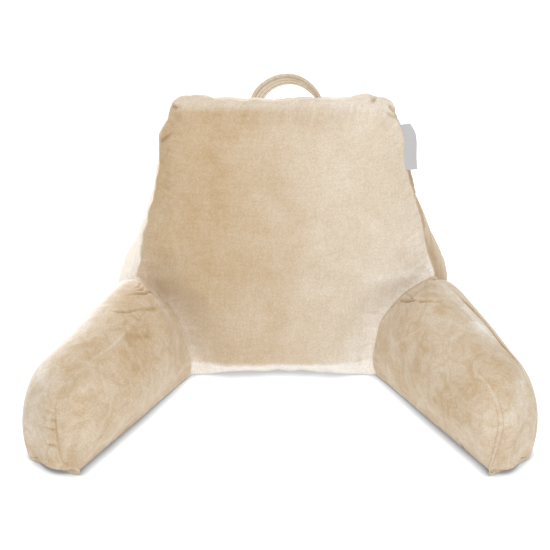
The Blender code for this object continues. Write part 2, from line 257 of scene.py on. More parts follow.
def plush(name, shift, lean, patches, marks, streaks=0.1, added_lean=0.0):
    """Plush material. shift moves the brush marks, so that no two pieces match. lean is
    how far the nap leans to the light as a whole, and the added lean leans it away on the left
    half of a piece and towards the light on the right half. The mesh's attribute of tone and
    painted light adds to it: painted shade in folds and seams, and painted highlights and
    painted light on rims, sides and corners."""
    material, shader = plain_material(name, NAP_TONES[1][1], roughness=0.85)
    tree = material.node_tree
    place = own_place(tree)
    moved = node(tree, 'ShaderNodeMapping',
                 {"Vector": place, "Location": [way * shift for way in SHIFT_WAY]})
    nap = node(tree, 'ShaderNodeGroup', {"Place": moved.outputs["Vector"], "Patches": patches,
                                         "Marks": marks, "Streaks": streaks}, node_tree=nap_marks)
    pile = node(tree, 'ShaderNodeGroup', {"Place": place}, node_tree=plush_pile)
    # The painted shade and painted highlights that the mesh carries, in nap lean
    tone_and_painted_light = node(tree, 'ShaderNodeAttribute', attribute_name="tone_and_painted_light").outputs["Fac"]
    leaning = math(tree, 'ADD', math(tree, 'ADD', nap.outputs["Lean"], lean), tone_and_painted_light)
    if added_lean:
        wander = math(tree, 'MULTIPLY', noise(tree, place, WANDER_SCALE), BRUSH_WANDER)
        across = math(tree, 'ADD', across_of(tree, place), wander)
        turned = ranged(tree, across, *BRUSH_TURN, -added_lean, added_lean, 'SMOOTHSTEP')
        leaning = math(tree, 'ADD', leaning, turned)
    low, high = NAP_TONES[0][0], NAP_TONES[-1][0]
    share = math(tree, 'DIVIDE', math(tree, 'SUBTRACT', leaning, low), high - low)
    ramp = node(tree, 'ShaderNodeValToRGB', {"Fac": share})
    while len(ramp.color_ramp.elements) < len(NAP_TONES):
        ramp.color_ramp.elements.new(0.5)
    for element, (step, colour) in zip(ramp.color_ramp.elements, NAP_TONES):
        element.position = (step - low) / (high - low)
        element.color = (*colour, 1)
    grain = node(tree, 'ShaderNodeVectorMath',
                 {0: ramp.outputs["Color"], "Scale": pile.outputs["Value"]}, operation='SCALE')
    bump = node(tree, 'ShaderNodeBump', {"Strength": PILE_BUMP, "Distance": PILE_RISE,
                                         "Height": pile.outputs["Height"]})
    feed(tree, shader, {"Base Color": grain.outputs["Vector"], "Normal": bump.outputs["Normal"],
                        **PILE_SHEEN})
    return material


# ---------------------------------------------------------------- back cushion
# Front panel, boxing round both sides and the top, rear panel and base, sewn along
# twelve seams and filled. The panels are cut a little large, so they pucker at the seams.
FRONT_EDGE_Y = 0.0042
RECLINE = radians(19.5)
FACE_HEIGHT = 0.458
REAR_LEAN = radians(3.0)
REAR_HEIGHT = 0.355
BASE_DEPTH = 0.224
TOP_CORNER = 0.014
REAR_CORNER = 0.03
FLOOR_BOW = 0.008
FRONT_CROWN = 0.036
REAR_CROWN = 0.026
TOP_CROWN = 0.013
FLAT_SHARE = 0.65
FRONT_RIM = 0.06
FLOOR_RIM = 0.05
ARM_RIM = 0.08
SIDE_ROUND = 0.6
TOP_ROUND = 0.7
TOP_ENDS = 4
REAR_SIDES = 3
REAR_ENDS = 3.5
FRONT_OUTLINE = {  # height along the front panel, half width, right and left
    1: ((0.0, 0.256), (0.1, 0.254), (0.168, 0.2495), (0.195, 0.241), (0.228, 0.233),
        (0.265, 0.2245), (0.305, 0.212), (0.356, 0.2), (0.4, 0.197), (0.419, 0.189),
        (0.437, 0.181), (0.458, 0.179)),
    -1: ((0.0, 0.256), (0.1, 0.25), (0.168, 0.236), (0.202, 0.2305), (0.235, 0.2255),
         (0.268, 0.217), (0.305, 0.207), (0.356, 0.199), (0.4, 0.197), (0.419, 0.189),
         (0.437, 0.181), (0.458, 0.179))}
REAR_OUTLINE = {  # height along the rear panel, half width, right and left
    1: ((0.0, 0.274), (0.05, 0.28), (0.09, 0.274), (0.142, 0.251), (0.19, 0.231), (0.224, 0.216),
        (0.254, 0.207), (0.305, 0.193), (0.355, 0.177)),
    -1: ((0.0, 0.274), (0.05, 0.277), (0.09, 0.266), (0.142, 0.239), (0.19, 0.221),
         (0.224, 0.208), (0.254, 0.2), (0.305, 0.189), (0.355, 0.175))}
SIDE_CROWN = (  # share of the height, how far the boxing stands out
    (0.0, 0.012), (0.3, 0.012), (0.45, 0.007), (0.6, 0.004), (1.0, 0.003))
ARM_SEAM = {  # height along the face, half width where the arm is sewn on
    1: ((0.0, 0.1555), (0.021, 0.15), (0.046, 0.1508), (0.071, 0.1553), (0.093, 0.1623),
        (0.114, 0.1765), (0.14, 0.2002), (0.157, 0.2263), (0.168, 0.2495)),
    -1: ((0.0, 0.15), (0.02, 0.149), (0.032, 0.151), (0.057, 0.1582), (0.087, 0.1674),
         (0.109, 0.1792), (0.126, 0.1911), (0.148, 0.2147), (0.168, 0.236))}
SEAM_TOP = 0.168


def leaning_ways(lean):
    """Ways up along a face that leans back by so much, and backwards out of it."""
    return np.array((0, sin(lean), cos(lean))), np.array((0, cos(lean), -sin(lean)))


FACE_UP, face_back = leaning_ways(RECLINE)
FACE_OUT = -face_back
REAR_UP, REAR_OUT = leaning_ways(REAR_LEAN)
FRONT_EDGE = np.array((0, FRONT_EDGE_Y, 0))
REAR_EDGE = np.array((0, FRONT_EDGE_Y + BASE_DEPTH, 0))

BACK_CUTS = (80, 26, 76)  # grid across, back and up, before it is refined
BACK_CROWD = radians(60)  # grid lines crowd towards the seams


def ease(t):
    t = np.clip(t, 0, 1)
    return t * t * (3 - 2 * t)


def blend(start, end, share):
    return start + (end - start) * share


def curve(rows, at, column=1):
    """Smooth curve through the rows' column, read at values of their first column."""
    rows = np.array(rows)
    x, y = rows[:, 0], rows[:, column]
    at = np.clip(at, x[0], x[-1])
    before = np.maximum(np.arange(len(x)) - 1, 0)
    after = np.minimum(np.arange(len(x)) + 1, len(x) - 1)
    slope = (y[after] - y[before]) / (x[after] - x[before])
    i = np.clip(np.searchsorted(x, at, side='right') - 1, 0, len(x) - 2)
    step = x[i + 1] - x[i]
    t = (at - x[i]) / step
    bend = (t**3 - 2 * t**2 + t) * slope[i] + (t**3 - t**2) * slope[i + 1]
    return blend(y[i], y[i + 1], ease(t)) + step * bend


def rim(distance, width):
    """Height, 0 to 1, of a stuffed rim: a quarter round that starts at its seam."""
    return np.sqrt(1 - (1 - np.clip(distance / width, 0, 1))**2)


def sided(rows, across, along):
    """The right side's curve where across is above nothing, and the left side's elsewhere."""
    return np.where(across > 0, curve(rows[1], along), curve(rows[-1], along))


def panel_half_width(outline, across, along, height, corner):
    cut = np.maximum(along - height + corner, 0)
    return sided(outline, across, along) - corner + np.sqrt(corner**2 - cut**2)


def front_point(across, up):
    along = up * FACE_HEIGHT
    half = panel_half_width(FRONT_OUTLINE, across, along, FACE_HEIGHT, TOP_CORNER)
    x = across * half
    bow = FLOOR_BOW * np.maximum(1 - (x / ARM_SEAM[-1][0][1])**2, 0) * (1 - ease(along / FLOOR_RIM))
    point = FRONT_EDGE + along[:, None] * FACE_UP
    point[:, 0] += x
    point[:, 1] += bow
    return point


def rear_point(across, up):
    along = up * REAR_HEIGHT
    point = REAR_EDGE + along[:, None] * REAR_UP
    point[:, 0] += across * panel_half_width(REAR_OUTLINE, across, along, REAR_HEIGHT, REAR_CORNER)
    return point


def front_crown(x, along):
    side = np.where(along < SEAM_TOP, sided(ARM_SEAM, x, along), sided(FRONT_OUTLINE, x, along))
    low = 1 - ease((along - SEAM_TOP) / FRONT_RIM)
    inside = side - np.abs(x)
    edge = blend(rim(inside, FRONT_RIM), ease(inside / ARM_RIM), low)
    edge = edge * rim(along, FLOOR_RIM) * rim(FACE_HEIGHT - along, FRONT_RIM)
    dome = np.cos(pi * (along / FACE_HEIGHT - 0.5))
    dome = dome * np.cos(pi / 2 * np.minimum(np.abs(x) / side, 1))
    return FRONT_CROWN * edge * blend(FLAT_SHARE, 1, np.maximum(dome, 0))


def back_point(across, back, up):
    """Places on the cushion's skin. across, back and up run from -1 to 1 over a cube."""
    height = (up + 1) / 2
    share = (back + 1) / 2
    front = front_point(across, height)
    point = blend(front, rear_point(across, height), share[:, None])
    crown = front_crown(front[:, 0], height * FACE_HEIGHT)
    point += np.where(back <= -1, crown, 0)[:, None] * FACE_OUT
    crown = REAR_CROWN * np.sqrt((1 - np.abs(across)**REAR_SIDES) * (1 - np.abs(up)**REAR_ENDS))
    point += np.where(back >= 1, crown, 0)[:, None] * REAR_OUT
    girth = np.maximum(np.sin(pi * share), 0)
    crown = across * curve(SIDE_CROWN, height) * girth**SIDE_ROUND
    point[:, 0] += np.where(np.abs(across) >= 1, crown, 0)
    crown = TOP_CROWN * girth**TOP_ROUND * np.sqrt(1 - across**TOP_ENDS)
    point += np.where(up >= 1, crown, 0)[:, None] * FACE_UP
    point[:, 2] = np.where(up <= -1, 0, point[:, 2])
    return point


def vectors(source, what, kind=float):
    """Values read from a mesh, as rows of three."""
    values = np.empty(len(source) * 3, kind)
    source.foreach_get(what, values)
    return values.reshape(-1, 3).astype(float)


def places(mesh):
    return vectors(mesh.vertices, "co")


def facings(mesh):
    return vectors(mesh.vertex_normals, "vector", np.float32)


def set_places(mesh, points):
    mesh.vertices.foreach_set("co", points.ravel())
    mesh.update()


def keep_values(mesh, name, values):
    mesh.attributes.new(name, 'FLOAT_VECTOR', 'POINT').data.foreach_set("vector", values.ravel())


def kept_values(mesh, name):
    return vectors(mesh.attributes[name].data, "vector")


def join_rows(shape, rows, closed=False):
    """Faces between each row of vertices and the next. Closed rows are rings."""
    for row, following in zip(rows, rows[1:]):
        for i in range(len(row) if closed else len(row) - 1):
            j = (i + 1) % len(row)
            shape.faces.new((row[i], row[j], following[j], following[i]))


def cube_grid(cuts):
    """The skin of a cube from -1 to 1, gridded with so many faces each way."""
    shape = bmesh.new()
    for fixed in range(3):
        others = [axis for axis in range(3) if axis != fixed]
        for end in (-1, 1):
            grid = []
            for i in range(cuts[others[0]] + 1):
                row = []
                for j in range(cuts[others[1]] + 1):
                    place = [0, 0, 0]
                    place[fixed] = end
                    place[others[0]] = 2 * i / cuts[others[0]] - 1
                    place[others[1]] = 2 * j / cuts[others[1]] - 1
                    row.append(shape.verts.new(place))
                grid.append(row)
            join_rows(shape, grid)
    bmesh.ops.remove_doubles(shape, verts=shape.verts, dist=1e-5)
    bmesh.ops.recalc_face_normals(shape, faces=shape.faces)
    return shape


def new_piece(name, shape, material):
    mesh = bpy.data.meshes.new(name)
    shape.to_mesh(mesh)
    shape.free()
    mesh.materials.append(material)
    mesh.shade_smooth()
    return placed(name, mesh)


CLOTH_ROUNDS = 20
CLOTH_QUALITY = 5
CLOTH_MASS = 0.3
STRETCH_STIFFNESS = 15
SHEAR_STIFFNESS = 5
BEND_STIFFNESS = 0.3
PRESSURE = 2.0
EVEN_ROUNDS = 40  # how widely the blown shape is evened, to tell it from its folds
SWELL_CAP = 0.002


def neighbour_mean(values, edges, fixed):
    """values evened out along a mesh's edges, nothing at the fixed vertices."""
    count = len(values)
    degree = np.maximum(np.bincount(edges.ravel(), minlength=count), 1)[:, None]
    for _ in range(EVEN_ROUNDS):
        total = np.zeros_like(values)
        for here, there in ((0, 1), (1, 0)):
            for axis in range(3):
                total[:, axis] += np.bincount(edges[:, here], weights=values[edges[:, there], axis],
                                              minlength=count)
        values = np.where(fixed[:, None], 0, total / degree)
    return values


def evaluated(thing):
    return thing.evaluated_get(bpy.context.evaluated_depsgraph_get())


def fill_with_air(piece, fixed, grow, folds):
    """Blow the piece up as loose cloth, cut so much larger, held along its seams. Its wide
    swelling is held to SWELL_CAP, so that it keeps its cut shape, and folds says how much of
    its folds stay."""
    mesh = piece.data
    start = places(mesh)
    group = piece.vertex_groups.new(name="seams")
    group.add([int(i) for i in np.where(fixed)[0]], 1.0, 'REPLACE')
    cloth = piece.modifiers.new("cloth", 'CLOTH')
    settings = cloth.settings
    settings.quality = CLOTH_QUALITY
    settings.mass = CLOTH_MASS
    settings.tension_stiffness = settings.compression_stiffness = STRETCH_STIFFNESS
    settings.shear_stiffness = SHEAR_STIFFNESS
    settings.bending_stiffness = BEND_STIFFNESS
    settings.vertex_group_mass = "seams"
    settings.pin_stiffness = 1
    settings.use_pressure = True
    settings.uniform_pressure_force = PRESSURE
    settings.shrink_min = -grow
    settings.effector_weights.gravity = 0
    cloth.collision_settings.use_collision = False
    cloth.point_cache.frame_start = 1
    cloth.point_cache.frame_end = CLOTH_ROUNDS + 1
    for number in range(1, CLOTH_ROUNDS + 1):
        scene.frame_set(number)
    moved = places(evaluated(piece).data) - start
    piece.modifiers.remove(cloth)
    piece.vertex_groups.remove(group)
    scene.frame_set(1)
    edges = np.empty(len(mesh.edges) * 2, np.int32)
    mesh.edges.foreach_get("vertices", edges)
    wide = neighbour_mean(moved, edges.reshape(-1, 2), fixed)
    size = np.maximum(np.linalg.norm(wide, axis=1), 1e-9)[:, None]
    wide_kept = wide * np.minimum(1, SWELL_CAP / size)
    set_places(mesh, start + (moved - wide) * folds[:, None] + wide_kept)


def refine(piece):
    """Subdivide a piece once, its kept values with it."""
    finer = piece.modifiers.new("finer", 'SUBSURF')
    finer.levels = finer.render_levels = 1
    mesh = bpy.data.meshes.new_from_object(evaluated(piece))
    piece.modifiers.remove(finer)
    old = piece.data
    piece.data = mesh
    bpy.data.meshes.remove(old)
    mesh.name = piece.name
    mesh.shade_smooth()


def nearest(points, others):
    """Distance of each point to the nearest of other points, and that one's index."""
    tree = KDTree(len(others))
    for i, place in enumerate(others):
        tree.insert(place, i)
    tree.balance()
    found = [tree.find(point) for point in points]
    return np.array([distance for _, _, distance in found]), np.array([i for _, i, _ in found])


def along_seam(points, seam):
    """Distance of each point to a line of closely spaced seam points, and the length
    along the seam where it is nearest."""
    distance, found = nearest(points, seam)
    along = np.concatenate(([0], np.cumsum(np.linalg.norm(np.diff(seam, axis=0), axis=1))))
    return distance, along[found]


WAVES = ((1.0, 0.5), (0.62, 0.3), (1.7, 0.35))  # pitch and share of each wave in a ripple
WAVE_PLAY = (0.92, 1.08)
UNEVEN = (0.6, 0.4)  # height of the puckers, and how much it comes and goes
UNEVEN_PITCH = 5.3
PUCKER_SLANT = 0.25


def ripple(along, pitch, seed):
    """Uneven waves of about that pitch, from -1 to 1."""
    chance = np.random.default_rng(seed)
    total = 0
    for scale, share in WAVES:
        total = total + share * np.sin(tau * along / (pitch * scale) * chance.uniform(*WAVE_PLAY)
                                       + chance.uniform(0, tau))
    return total


def sewn(distance, along, seed, width, depth, pitch, pucker, reach):
    """Height over a seam: a groove so wide and deep, and puckers of the cloth gathered into
    it, a pitch apart, that high at their reach."""
    groove = -depth * np.exp(-(distance / width)**2)
    uneven = UNEVEN[0] + UNEVEN[1] * ripple(along, pitch * UNEVEN_PITCH, seed + 1)
    gather = pucker * ripple(along + PUCKER_SLANT * distance, pitch, seed) * uneven
    away = distance / reach
    return groove + gather * away * np.exp(1 - away) * (distance < 8 * reach)


LINE_END = 0.04  # what is left of a fold or stroke at its ends, and how full it is between
LINE_FULLNESS = 0.6


def near_line(points, line):
    """Distance of each point to a line of a few points, and a fade to nothing at its ends."""
    line = np.array(line, float)
    best = np.full(len(points), 1e9)
    share = np.zeros(len(points))
    lengths = np.linalg.norm(np.diff(line, axis=0), axis=1)
    done = 0
    for start, end, length in zip(line, line[1:], lengths):
        way = (end - start) / length
        t = np.clip((points - start) @ way, 0, length)
        distance = np.linalg.norm(points - start - t[:, None] * way, axis=1)
        nearer = distance < best
        best = np.where(nearer, distance, best)
        share = np.where(nearer, (done + t) / lengths.sum(), share)
        done += length
    return best, np.clip(np.sin(pi * blend(LINE_END, 1 - LINE_END, share)), 0, 1)**LINE_FULLNESS


def crease(points, line, width, depth):
    """A soft trough along a line, flanked by ridges. depth below nothing makes a ridge."""
    distance, fade = near_line(points, line)
    r = (distance / width)**2
    return -depth * fade * (1 - r) * np.exp(-r)


def painted_light_stroke(points, line, width, amount):
    """A soft stroke of painted light along a line, in steps of nap lean: a painted highlight where
    amount is above nothing, painted shade below it.
    """
    distance, fade = near_line(points, line)
    return amount * fade * np.exp(-(distance / width)**2)


FOLD_SHADE_AND_HIGHLIGHT = 200  # nap lean painted for each metre that a fold or seam rises or sinks: a painted highlight where it rises, painted shade where it sinks
DEEPEST_PAINTED_SHADE = -0.9
PALEST_PAINTED_HIGHLIGHT = 0.45


def set_tone_and_painted_light(mesh, lift, added_lean):
    """Keep the piece's tone and painted light: painted shade where a fold or seam sinks, a painted
    highlight where it rises, and the added lean on top.
    """
    tone_and_painted_light = np.clip(lift * FOLD_SHADE_AND_HIGHLIGHT, DEEPEST_PAINTED_SHADE, PALEST_PAINTED_HIGHLIGHT) + added_lean
    mesh.attributes.new("tone_and_painted_light", 'FLOAT', 'POINT').data.foreach_set("value", tone_and_painted_light)


def seam_points(ends, steps=400):
    """Points along the cushion's seam between two corners of the cube."""
    t = np.linspace(0, 1, steps)[:, None]
    return back_point(*blend(*np.array(ends, float), t).T)


back_plush = plush("back_plush", shift=0.0, lean=0.5, patches=0.19, marks=0.12, streaks=0.14,
                   added_lean=0.43)
back_cushion = new_piece("back_cushion_cover", cube_grid(BACK_CUTS), back_plush)
cube = places(back_cushion.data)
cube = np.where(np.abs(cube) > 0.9999, np.sign(cube), np.sin(cube * BACK_CROWD) / sin(BACK_CROWD))
keep_values(back_cushion.data, "cube", cube)
set_places(back_cushion.data, back_point(*cube.T))

SEAM_DROP = 0.45  # the arm's root seam sinks along the boxing by this share
SEAM_BACK = 0.62  # it runs back this share of the boxing's depth
FRONT_SHARE = 0.45  # share of the root seam on the front panel
SIDE_SHARE = 0.78  # where the share on the boxing's side ends


def root_seam(side, turn):
    """The sewn root of an arm, built on the right: up the front panel, back along the boxing
    and down it to the floor. turn is 0 at the inner edge and 1 at the outer."""
    along = SEAM_TOP * np.sin(pi / 2 * np.minimum(turn / FRONT_SHARE, 1))
    front = FRONT_EDGE + along[:, None] * FACE_UP
    front[:, 0] += curve(ARM_SEAM[side], along)
    top = SEAM_TOP / FACE_HEIGHT
    share = np.clip((turn - FRONT_SHARE) / (SIDE_SHARE - FRONT_SHARE), 0, 1)
    edge = np.full_like(turn, side)
    boxing = back_point(edge, 2 * SEAM_BACK * share - 1, 2 * top * (1 - SEAM_DROP * share) - 1)
    up = top * (1 - SEAM_DROP) * np.clip((1 - turn) / (1 - SIDE_SHARE), 0, 1)
    down = back_point(edge, np.full_like(turn, 2 * SEAM_BACK - 1), 2 * up - 1)
    point = np.where((turn < SIDE_SHARE)[:, None], boxing, down) * (side, 1, 1)
    return np.where((turn < FRONT_SHARE)[:, None], front, point)


ROOT_TURNS = np.linspace(0, 1, 500)
root_lines = np.concatenate([root_seam(side, ROOT_TURNS) * (side, 1, 1) for side in (1, -1)])
upright = [((x, y, -1), (x, y, 1)) for y in (-1, 1) for x in (-1, 1)]
level = [((-1, y, z), (1, y, z)) for z in (1, -1) for y in (-1, 1)]
cushion_seams = np.concatenate([seam_points(ends) for ends in upright + level])

BACK_GROW = 0.022
ROOT_HOLD = 0.005  # this close to an arm's root seam the cloth is held
FOLDS_STAY = (0.35, 0.06)  # share of the folds that stay away from seams, and how near is all
CUSHION_SEAM = dict(width=0.0026, depth=0.0014, pitch=0.011, pucker=0.001, reach=0.013)
CUSHION_ROOT = dict(width=0.0022, depth=0.0012, pitch=0.011, pucker=0.001, reach=0.012)
PRESSED_SEAM = 0.4  # the top and left seams are pressed this much flatter
TOP_SEAM_REACH = 0.012
SIDE_SEAM_X = 0.19  # beyond this the nearest seam is a side seam
shape = places(back_cushion.data)
to_seam, _ = nearest(shape, cushion_seams)
to_root, _ = nearest(shape, root_lines)
held = ((np.abs(cube) >= 1).sum(1) >= 2) | (cube[:, 2] <= -1) | (to_root < ROOT_HOLD)
folds = blend(FOLDS_STAY[0], 1, np.exp(-(to_seam / FOLDS_STAY[1])**2))
fill_with_air(back_cushion, held, BACK_GROW, folds)
refine(back_cushion)

cube = kept_values(back_cushion.data, "cube")
skin = places(back_cushion.data)
to_seam, seam_length = along_seam(skin, cushion_seams)
to_root, root_length = along_seam(skin, root_lines)
at_top = (skin - FRONT_EDGE) @ FACE_UP > FACE_HEIGHT - TOP_SEAM_REACH
seams = sewn(to_seam, seam_length, 11, **CUSHION_SEAM)
seams *= np.where(at_top | (skin[:, 0] < -SIDE_SEAM_X), PRESSED_SEAM, 1)
seams += sewn(to_root, root_length, 23, **CUSHION_ROOT)
BACK_CREASES = (  # across and up on the front panel, then width and depth
    (((-0.181, 0.449), (-0.17, 0.442), (-0.16, 0.444)), 0.004, 0.0042),
    (((-0.199, 0.388), (-0.191, 0.394), (-0.176, 0.407)), 0.0045, 0.003),
    (((-0.199, 0.355), (-0.192, 0.362), (-0.182, 0.382)), 0.004, 0.0024),
    (((-0.205, 0.303), (-0.2, 0.309), (-0.188, 0.321)), 0.004, 0.0018),
    (((0.184, 0.436), (0.176, 0.441), (0.168, 0.449)), 0.004, 0.004),
    (((0.186, 0.428), (0.176, 0.432), (0.164, 0.436)), 0.004, 0.003),
    (((0.15, 0.462), (0.147, 0.456), (0.143, 0.45)), 0.0045, 0.005),
    (((-0.062, 0.459), (-0.056, 0.455)), 0.004, 0.003),
    (((-0.147, 0.012), (-0.124, 0.01), (-0.098, 0.004)), 0.0035, 0.003),
    (((0.149, 0.013), (0.126, 0.014), (0.1, 0.01)), 0.003, 0.0025),
    (((0.149, 0.006), (0.113, 0.007), (0.079, 0.003)), 0.003, 0.003))
folds = np.zeros(len(skin))
for line, width, depth in BACK_CREASES:
    line = [FRONT_EDGE + FACE_UP * up + FACE_OUT * front_crown(np.array([x]), np.array([up]))
            + (x, 0, 0) for x, up in line]
    folds += crease(skin, line, width, depth)
skin += facings(back_cushion.data) * ((seams + folds) * (cube[:, 2] > -1))[:, None]
TOP_WAVES = (  # across, how far the stuffed top stands above its cut line
    (-0.18, 0.0), (-0.163, 0.0055), (-0.146, 0.0055), (-0.124, 0.0045), (-0.107, 0.001),
    (-0.083, -0.0005), (-0.062, -0.004), (-0.05, -0.001), (-0.02, -0.0045), (0.012, -0.002),
    (0.04, 0.0), (0.07, -0.0005), (0.088, -0.0015), (0.103, 0.0015), (0.12, 0.0065),
    (0.136, 0.0075), (0.15, 0.004), (0.162, 0.0035), (0.18, 0.001))
TOP_WAVE_REACH = 0.16  # share of the height that the waves run down
EDGE_LIFT = (  # across, how far the front edge is off the floor
    (-0.15, 0.0), (-0.119, 0.0), (-0.1, 0.003), (-0.08, 0.0028), (-0.058, 0.0045),
    (-0.039, 0.0028), (-0.023, 0.0022), (-0.007, 0.006), (0.012, 0.0022), (0.033, 0.005),
    (0.048, 0.003), (0.062, 0.0), (0.15, 0.0))
EDGE_REACH = 0.03
high_up = ease((cube[:, 2] - 1 + 2 * TOP_WAVE_REACH) / (2 * TOP_WAVE_REACH))
forward = 1 - ease((cube[:, 1] + 1) / 2)
skin += FACE_UP * (curve(TOP_WAVES, skin[:, 0]) * high_up * forward)[:, None]
from_edge = np.linalg.norm(skin[:, 1:] - np.array((FRONT_EDGE_Y, 0)), axis=1)
skin[:, 2] = np.maximum(skin[:, 2], 0)
between = np.abs(skin[:, 0]) < EDGE_LIFT[-1][0]
edge_lift = np.where(between, curve(EDGE_LIFT, skin[:, 0]), 0)
skin[:, 2] += edge_lift * (1 - ease(from_edge / EDGE_REACH))
set_places(back_cushion.data, skin)

# Painted light beside the arm's root, that pales the shaded corner between panel and arm,
# in nap lean: at the floor, then what each metre up the front panel adds, and how far from
# the seam it reaches.
ARM_CORNER_PAINTED_LIGHT = {1: (0.55, 1.6, 0.036), -1: (1.15, -3.2, 0.055)}
TOP_RIM_HIGHLIGHT = (0.82, 0.22)  # painted highlight along the top of the front panel, left and right
TOP_RIM_TURN = 0.2  # across, over which it turns from left to right
TOP_RIM = (0.024, 0.02)  # where it starts under the top, and how soft its start is
# Painted light bounced up from the floor onto the foot of the front panel
FLOOR_BOUNCE_PAINTED_LIGHT = 1.35
FLOOR_BAND = 0.014  # height of the pale band over the floor, and its softness
# Painted light on the left boxing and painted shade on the right
BOXING_PAINTED_LIGHT_AND_SHADE = {1: -1.15, -1: 1.25}
BOXING_EDGE = 0.005
SEAM_SHADE_SHARE = {1: -1.2, -1: 0.2}  # share of a seam's painted shade: the right side's turns into a painted highlight
front_up = (skin - FRONT_EDGE) @ FACE_UP
on_front = cube[:, 1] <= -0.999
on_boxing = np.abs(cube[:, 0]) >= 0.999
left = skin[:, 0] < 0
# Painted light beside each arm's root, against the shade in the corner
at_floor, climb, reach = np.where(left[:, None], ARM_CORNER_PAINTED_LIGHT[-1], ARM_CORNER_PAINTED_LIGHT[1]).T
beside_arm = at_floor + climb * np.minimum(front_up, SEAM_TOP)
tone_and_painted_light = beside_arm * np.exp(-to_root / reach) * on_front
# Painted highlight along the top rim of the front panel
rim_highlight = blend(*TOP_RIM_HIGHLIGHT, ease(skin[:, 0] / TOP_RIM_TURN + 0.5))
tone_and_painted_light += rim_highlight * ease((front_up - FACE_HEIGHT + TOP_RIM[0]) / TOP_RIM[1])
# Painted bounce light from the floor along the foot of the front panel
tone_and_painted_light += FLOOR_BOUNCE_PAINTED_LIGHT * (1 - ease((front_up - FLOOR_BAND) / FLOOR_BAND)) * on_front
# Painted light on the left boxing, painted shade on the right
tone_and_painted_light += on_boxing * ease(to_seam / BOXING_EDGE) * np.where(left, BOXING_PAINTED_LIGHT_AND_SHADE[-1], BOXING_PAINTED_LIGHT_AND_SHADE[1])
# Painted shade along the seams, cut at the top and the left side, and turned to a painted highlight
# on the right side
seam_shade_share = np.where(at_top | (skin[:, 0] < -SIDE_SEAM_X), SEAM_SHADE_SHARE[-1], 1)
seam_shade_share *= np.where(skin[:, 0] > SIDE_SEAM_X, SEAM_SHADE_SHARE[1], 1)
set_tone_and_painted_light(back_cushion.data, folds + seams * seam_shade_share, tone_and_painted_light)

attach(back_cushion, "root")
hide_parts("back_cushion")

# ---------------------------------------------------------------- arms
# Each arm is a filled tube of two panels, joined along its ridge and round the nose, on a
# base panel. Its root is gathered and sewn to the front panel and the boxing.
ARM_SECTIONS = {  # along the inner edge, outer edge x and y, height, bulges
    1: ((0.0, 0.274, 0.12, 0.15, 0.004, 0.002), (0.03, 0.282, 0.09, 0.163, 0.003, 0.009),
        (0.07, 0.292, 0.044, 0.171, 0.006, 0.02), (0.115, 0.306, -0.011, 0.17, 0.012, 0.028),
        (0.165, 0.328, -0.072, 0.165, 0.018, 0.03), (0.215, 0.347, -0.125, 0.158, 0.02, 0.03),
        (0.25, 0.362, -0.16, 0.152, 0.02, 0.031), (0.315, 0.38, -0.23, 0.142, 0.018, 0.034)),
    -1: ((0.0, 0.272, 0.12, 0.15, 0.004, 0.002), (0.03, 0.278, 0.09, 0.163, 0.003, 0.008),
         (0.07, 0.286, 0.042, 0.17, 0.006, 0.016), (0.115, 0.3, -0.011, 0.169, 0.012, 0.026),
         (0.165, 0.32, -0.072, 0.165, 0.018, 0.03), (0.215, 0.349, -0.125, 0.158, 0.02, 0.03),
         (0.25, 0.37, -0.16, 0.152, 0.02, 0.029), (0.315, 0.391, -0.23, 0.142, 0.018, 0.024))}
ARM_SPLAY = radians(32.3)
ARM_LENGTH = 0.315
ARM_WAIST = 0.42
NOSE_LENGTH = 0.09
NOSE_ROUND = 3.0
NOSE_CURVE = 2.6
NOSE_FRONT = {1: 0.5, -1: 0.6}
NOSE_BOW = 0.014
NOSE_INSIDE = 0.86
NOSE_INSIDE_CURVE = 10
TIP_SHARE = 0.9999
SEAM_REACH = 0.06
ROOT_HEART = np.array((0.2, 0.094, 0))
ROOT_DEPTH = 0.12
INNER_WAY = np.array((sin(ARM_SPLAY), -cos(ARM_SPLAY), 0))
ARCH_STEPS = 128
UNDER_STEPS = 20
ARM_RINGS = 84
NOSE_RINGS = 34
RING_CROWD = 1.15
ARM_SEAM_LINE = {  # step, along the arm, turn: over the ridge and down the nose
    1: ((0, 0.0, 0.37), (1, 0.093, 0.375), (2, 0.183, 0.38), (3, 0.25, 0.39), (4, 0.282, 0.405),
        (5, 0.298, 0.415), (6, 0.306, 0.405), (7, 0.3105, 0.375), (8, 0.313, 0.34),
        (9, 0.3143, 0.29), (10, 0.3148, 0.22), (11, 0.3149, 0.15)),
    -1: ((0, 0.0, 0.37), (1, 0.093, 0.38), (2, 0.183, 0.4), (3, 0.24, 0.435), (4, 0.27, 0.458),
         (5, 0.2954, 0.485), (6, 0.306, 0.47), (7, 0.311, 0.453), (8, 0.3134, 0.436),
         (9, 0.3144, 0.424), (10, 0.3148, 0.405), (11, 0.3149, 0.37))}


def rounded(along, power):
    return np.maximum(1 - along**power, 0)**(1 / power)


